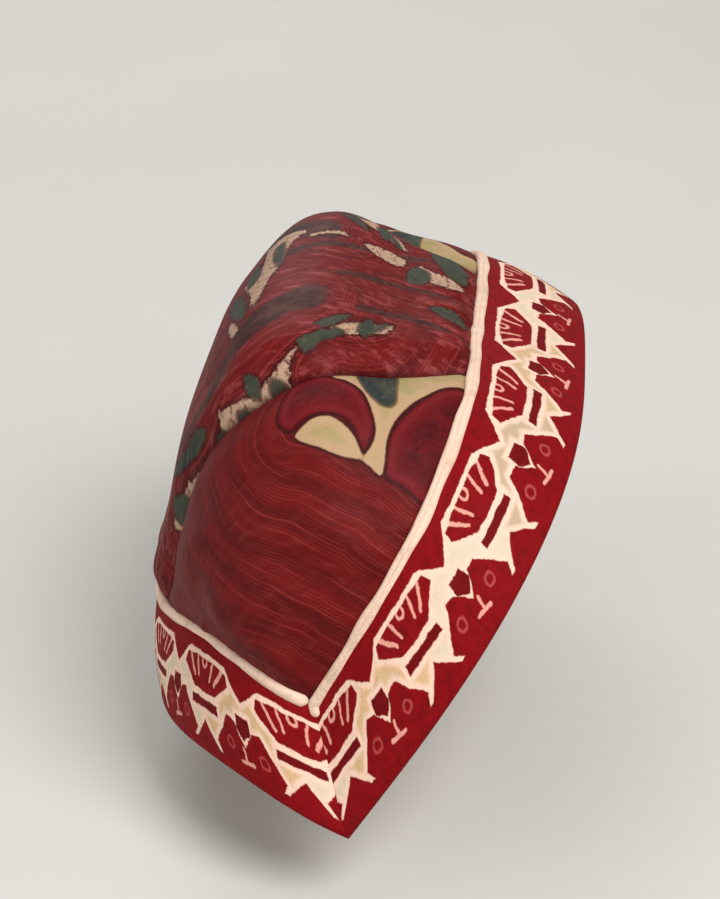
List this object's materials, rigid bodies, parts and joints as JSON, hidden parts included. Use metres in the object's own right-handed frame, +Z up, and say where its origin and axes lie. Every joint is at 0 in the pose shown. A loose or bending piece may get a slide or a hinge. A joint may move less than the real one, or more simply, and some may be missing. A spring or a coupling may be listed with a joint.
{
  "type": "chintz cap",
  "caption": "Small cap of printed chintz: gathered centre strip, rounded side panels, printed border bands that meet in a point over each ear, and cream piping in the seam.",
  "frame": {"origin": "midway between the two ear corners of the rim, where the cap sits on the head", "axes": "+X to the front, +Y to the wearer's left, +Z up, with the cap as it is worn"},
  "size_m": [0.0877, 0.142, 0.0837],
  "materials": {
    "chintz": "glazed printed cotton, dark red flowers with paler contour lines, cream and grey-green leaves",
    "band_print": "printed cotton border, red and cream geometric ornament, plain red edge",
    "edging": "cream cotton piping"
  },
  "bodies": {
    "root": {"crown_gore": "chintz", "side_panel_right": "chintz", "side_panel_left": "chintz", "front_band": "band_print", "nape_band": "band_print", "front_edging": "edging", "nape_edging": "edging"}
  },
  "joints": []
}
